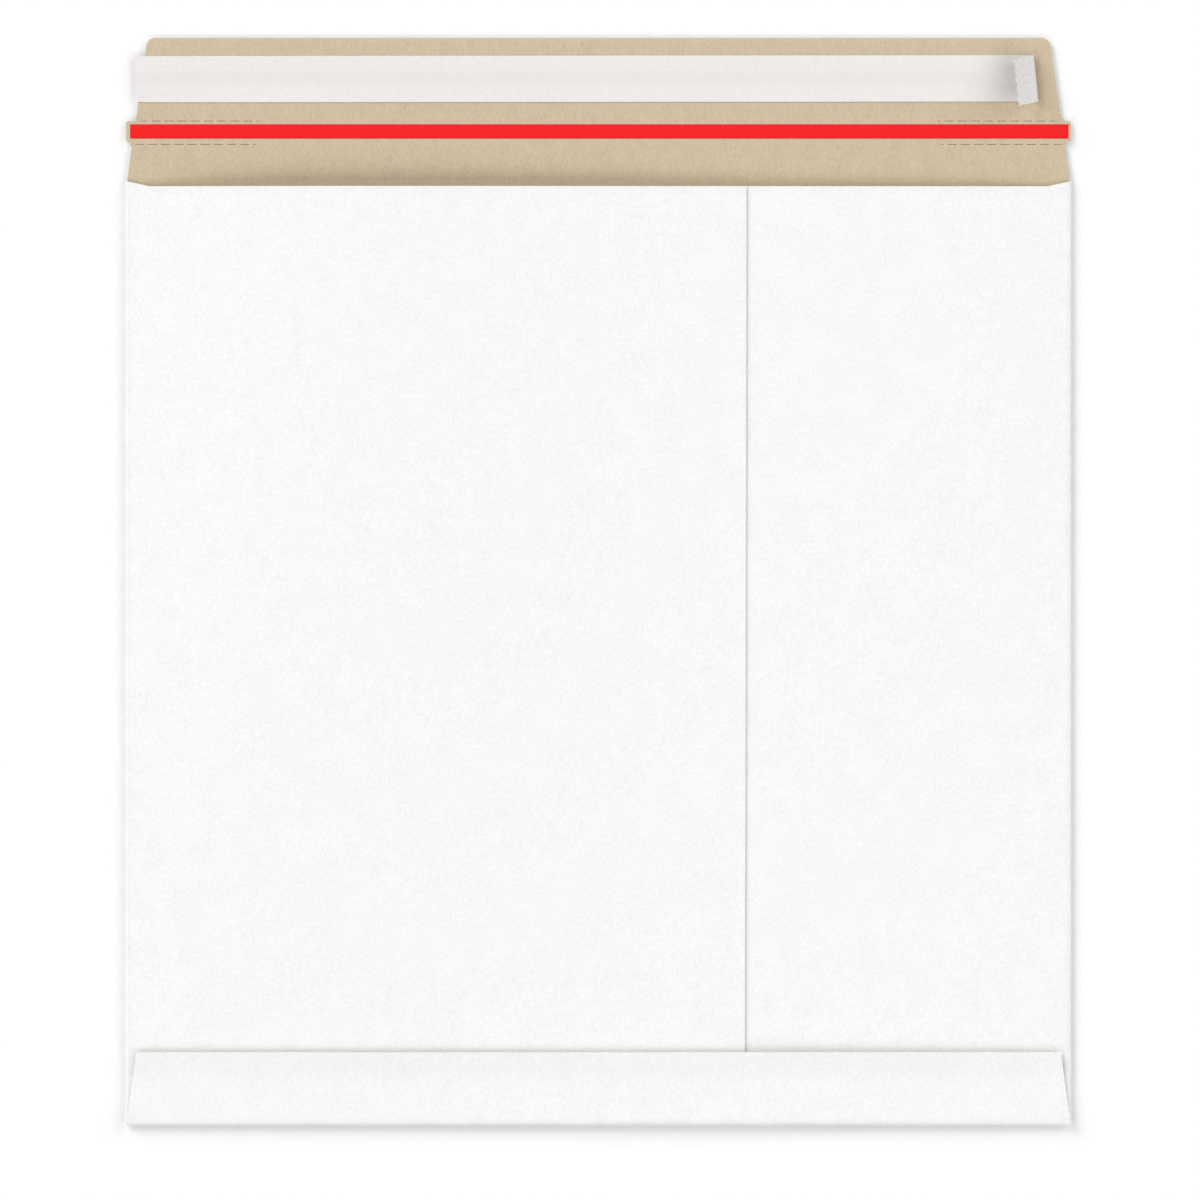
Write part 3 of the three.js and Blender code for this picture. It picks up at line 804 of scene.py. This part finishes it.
def drawLiner():
    chance = random.Random(liner["seed"])
    skew = liner["foldSkew"]
    acrossFold = Vector((math.cos(skew), math.sin(skew), 0))
    alongFold = Vector((-math.sin(skew), math.cos(skew), 0))
    pivot = Vector((pullStart, linerMiddleY, thick + liner["adhesive"]))
    half = liner["width"] / 2
    widths = stops(-half, half, liner["width"] / liner["cellsAcross"])
    torn = []
    for width in widths:
        wave = liner["tornDepth"] * math.sin(width * liner["tornWave"])
        nick = liner["nickDepth"] * math.sin(width * liner["nickWave"] + liner["nickShift"])
        torn.append(wave + nick + chance.uniform(-1, 1) * liner["fray"])
    points = []
    stations = linerStations()
    lift = liner["thickness"] / 2
    for i, (along, x, z, heading, tornShare) in enumerate(stations):
        for width, tear in zip(widths, torn):
            if i == 0:
                lean = liner["endLean"] * (0.5 - width / liner["width"])
                points.append(Vector((linerStartX + lean, linerMiddleY + width, pivot.z + lift)))
                continue
            sideways = width / math.cos(skew) - (along - pullStart) * math.sin(skew) * math.cos(skew)
            reach = x - pullStart + tear * tornShare * math.cos(heading) - lift * math.sin(heading)
            up = z + tear * tornShare * math.sin(heading) + lift * math.cos(heading)
            points.append(pivot + acrossFold * reach + alongFold * sideways + Vector((0, 0, up)))
    across = len(widths)
    faces = []
    for i in range(len(stations) - 1):
        for j in range(across - 1):
            first = i * across + j
            faces.append((first, first + across, first + across + 1, first + 1))
    piece = newPiece("releaseLiner", points, faces)
    # painted shade: its share grows over the reach before the lift, and is less at the sides
    tabShades = []
    for along, *_ in stations:
        share = clamp01((along - pullStart + liner["tabShadeReach"]) / liner["tabShadeReach"])
        tabShades += [share ** 2 * (1 - liner["tabShadeSideLoss"] * (width / half) ** 2) for width in widths]
    addAttribute(piece, "lifted", tabShades)
    heading = stations[-1][3]
    outward = acrossFold * math.cos(heading) + Vector((0, 0, math.sin(heading)))
    return piece, points[-across:], outward


linerStrip, tornLine, tornOutward = drawLiner()
for finish in (linerFace, linerBack, tornPaper):
    linerStrip.data.materials.append(finish)
addThickness(linerStrip, liner["thickness"])
settle(linerStrip, liner["sharpAngle"])
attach(linerStrip, "root")
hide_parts("release_liner")

# loose fibres along the torn end
fibres = {
    "count": 90, "length": 0.55, "shortest": 0.4, "longest": 1.3,  # shares of the length
    "radius": 0.022, "sides": 5, "spread": 0.7, "seed": 4,
}


def makeTornFibres():
    tree, given, result = newGroup(
        "tornFibres", "GeometryNodeTree",
        {
            "Geometry": shapeIn, "Count": wholeIn, "Length": floatIn, "Shortest": floatIn,
            "Longest": floatIn, "Radius": floatIn, "Sides": wholeIn, "Spread": floatIn,
            "Outward": vectorIn, "Seed": wholeIn, "Paper": finishIn,
        },
        {"Geometry": shapeIn},
    )
    curve = put(tree, "GeometryNodeMeshToCurve", {"Mesh": given["Geometry"]}).outputs[0]
    inputs = {"Curve": curve, "Count": given["Count"]}
    places = put(tree, "GeometryNodeResampleCurve", inputs).outputs[0]
    thorn = put(tree, "GeometryNodeMeshCone", {
        "Vertices": given["Sides"], "Radius Top": 0.0, "Radius Bottom": given["Radius"],
        "Depth": given["Length"],
    }).outputs[0]
    outward = {"Vector": given["Outward"]}
    aligned = put(tree, "FunctionNodeAlignRotationToVector", outward, axis="Z").outputs[0]
    most = put(tree, "ShaderNodeCombineXYZ", {axis: given["Spread"] for axis in "XYZ"}).outputs[0]
    least = put(tree, "ShaderNodeVectorMath", {0: most, "Scale": -1.0}, operation="SCALE").outputs[0]
    tilts = {0: least, 1: most, "Seed": given["Seed"]}
    lean = put(tree, "FunctionNodeRandomValue", tilts, data_type="FLOAT_VECTOR").outputs[0]
    turns = {0: aligned, 1: lean}
    turned = put(tree, "FunctionNodeRotateRotation", turns, rotation_space="LOCAL").outputs[0]
    sizes = {2: given["Shortest"], 3: given["Longest"], "Seed": given["Seed"]}
    size = put(tree, "FunctionNodeRandomValue", sizes).outputs[1]
    spread = {"Points": places, "Instance": thorn, "Rotation": turned, "Scale": size}
    grown = put(tree, "GeometryNodeInstanceOnPoints", spread).outputs[0]
    endTree(tree, grown, given["Paper"], result)
    return tree


fray = newPiece("tornFibres", tornLine, edges=[(i, i + 1) for i in range(len(tornLine) - 1)])
addTree(fray, makeTornFibres(), {
    "Count": fibres["count"], "Length": fibres["length"] * mm, "Shortest": fibres["shortest"],
    "Longest": fibres["longest"], "Radius": fibres["radius"] * mm, "Sides": fibres["sides"],
    "Spread": fibres["spread"], "Outward": tuple(tornOutward), "Seed": fibres["seed"],
    "Paper": tornPaper,
})
settle(fray)
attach(fray, "root")
print("envelope: liner rolled,", len(linerStrip.data.polygons), "faces,", fibres["count"], "fibres")


# tear tape, adhesive and glue keep their own solids and get their finishes

def dress(nodeName, material):
    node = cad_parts[nodeName]
    node.data.materials.clear()
    node.data.materials.append(material)


tape = {
    # the edge colour and width paint shade along both long edges of the film
    "colour": (0.92, 0.017, 0.018), "edgeShadeColour": (0.62, 0.012, 0.015), "edgeShadeWidth": 0.35,
    "roughness": 0.46, "gloss": 0.14,
    "grainSize": 1.6, "grain": 0.05, "stretch": 0.3, "seed": 12.0, "bump": 0.15, "bumpDepth": 0.02,
    "blotchSize": 20.0, "blotch": 0.03, "fibreSize": 5.0, "fibre": 0.0,
}


def makeTapeFilm():
    material, tree, shader = newFinish("tapeFilm", tape["roughness"], tape["gloss"])
    low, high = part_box("tear_tape")
    grain = placeGrain(tree, tape)
    offset = fromLine(tree, (low.y + high.y) / 2)
    half = (high.y - low.y) / 2
    # painted shade: the film turns darker red over the last edge width of both long edges
    edge = fade(tree, offset, half - tape["edgeShadeWidth"] * mm, half)
    colour = tinted(tree, edge, (*tape["colour"], 1), tape["edgeShadeColour"])
    tree.links.new(shaded(tree, colour, grain["Tone"]), shader.inputs["Base Color"])
    addBump(tree, shader, grain["Height"], tape)
    return material


seamGlueLook = {
    "colour": (0.70, 0.63, 0.43), "roughness": 0.5, "gloss": 0.4,
    "grainSize": 3.0, "grain": 0.25, "stretch": 1.0, "seed": 21.0, "bump": 0.5, "bumpDepth": 0.05,
    "blotchSize": 15.0, "blotch": 0.2, "fibreSize": 4.0, "fibre": -0.05,
}
bottomGlueLook = dict(seamGlueLook, seed=22.0)
adhesiveLook = dict(seamGlueLook, colour=(0.79, 0.72, 0.50), roughness=0.3, seed=23.0)


def makeGlue(name, look):
    material, tree, shader = newFinish(name, look["roughness"], look["gloss"])
    grain = placeGrain(tree, look)
    tree.links.new(shaded(tree, look["colour"], grain["Tone"]), shader.inputs["Base Color"])
    addBump(tree, shader, grain["Height"], look)
    return material


dress("tear_tape", makeTapeFilm())
dress("seam_glue", makeGlue("seamGlue", seamGlueLook))
dress("bottom_flap_glue", makeGlue("bottomFlapGlue", bottomGlueLook))
dress("seal_adhesive", makeGlue("sealAdhesive", adhesiveLook))
print("envelope: tape and glue finished")


# plain white studio, seen straight down

studio = {
    "ambient": 0.315,  # shares of the light on a level surface
    "lamps": {  # wide suns stand in for four softboxes round a copy stand
        "upperLeft": {"share": 0.285, "elevation": 30, "bearing": 135, "angle": 40},
        "lowerRight": {"share": 0.13, "elevation": 39, "bearing": -45, "angle": 40},
        "lowerLeft": {"share": 0.135, "elevation": 37, "bearing": -135, "angle": 40},
        "upperRight": {"share": 0.135, "elevation": 26, "bearing": 30, "angle": 40},
    },
    "floorColour": 0.99,
    "floorRoughness": 0.9,
    "floorGlow": 0.018,  # lifts the lit floor to white where it is seen
    "floorHalf": 6000.0,
    "floorDrop": 0.9,
}


def seenDirectly(tree):
    # camera, mirror and see-through rays meet the white background
    path = put(tree, "ShaderNodeLightPath").outputs
    seen = calc(tree, "MAXIMUM", path["Is Camera Ray"], path["Is Glossy Ray"])
    return calc(tree, "MAXIMUM", seen, path["Is Transmission Ray"])


def makeStudio():
    world = bpy.data.worlds.new("studio")
    scene.world = world
    world.use_nodes = True
    tree = world.node_tree
    background = tree.nodes["Background"]
    background.inputs["Color"].default_value = (1, 1, 1, 1)
    strength = fade(tree, seenDirectly(tree), 0.0, 1.0, studio["ambient"], 1.0)
    tree.links.new(strength, background.inputs["Strength"])

    half = studio["floorHalf"]
    drop = -studio["floorDrop"]
    corners = [(-half, -half, drop), (half, -half, drop), (half, half, drop), (-half, half, drop)]
    floor = newPiece("floor", corners, [(0, 1, 2, 3)])
    material, tree, shader = newFinish("floorPaper", studio["floorRoughness"], 0.0)
    tone = studio["floorColour"]
    shader.inputs["Base Color"].default_value = (tone, tone, tone, 1)
    glow = fade(tree, seenDirectly(tree), 0.0, 1.0, 0.0, studio["floorGlow"])
    shader.inputs["Emission Color"].default_value = (1, 1, 1, 1)
    tree.links.new(glow, shader.inputs["Emission Strength"])
    floor.data.materials.append(material)

    for name, lamp in studio["lamps"].items():
        elevation = math.radians(lamp["elevation"])
        light = bpy.data.lights.new(name, "SUN")
        light.energy = lamp["share"] * math.pi / math.sin(elevation)
        light.angle = math.radians(lamp["angle"])
        softbox = bpy.data.objects.new(name, light)
        softbox.rotation_euler = (0, math.pi / 2 - elevation, math.radians(lamp["bearing"]))
        scene.collection.objects.link(softbox)


camera = {
    "lens": 500.0, "sensorWidth": 36.0, "frameWidth": 431.75, "middleX": 0.54, "middleY": -6.66,
}


def makeCamera():
    data = bpy.data.cameras.new("topCamera")
    data.lens = camera["lens"]
    data.sensor_width = camera["sensorWidth"]
    eye = bpy.data.objects.new("topCamera", data)
    distance = camera["frameWidth"] * camera["lens"] / camera["sensorWidth"]
    eye.location = (camera["middleX"] * mm, camera["middleY"] * mm, distance * mm)
    scene.collection.objects.link(eye)
    scene.camera = eye


makeStudio()
makeCamera()
scene.view_settings.view_transform = "Standard"
print("envelope: studio and camera set")
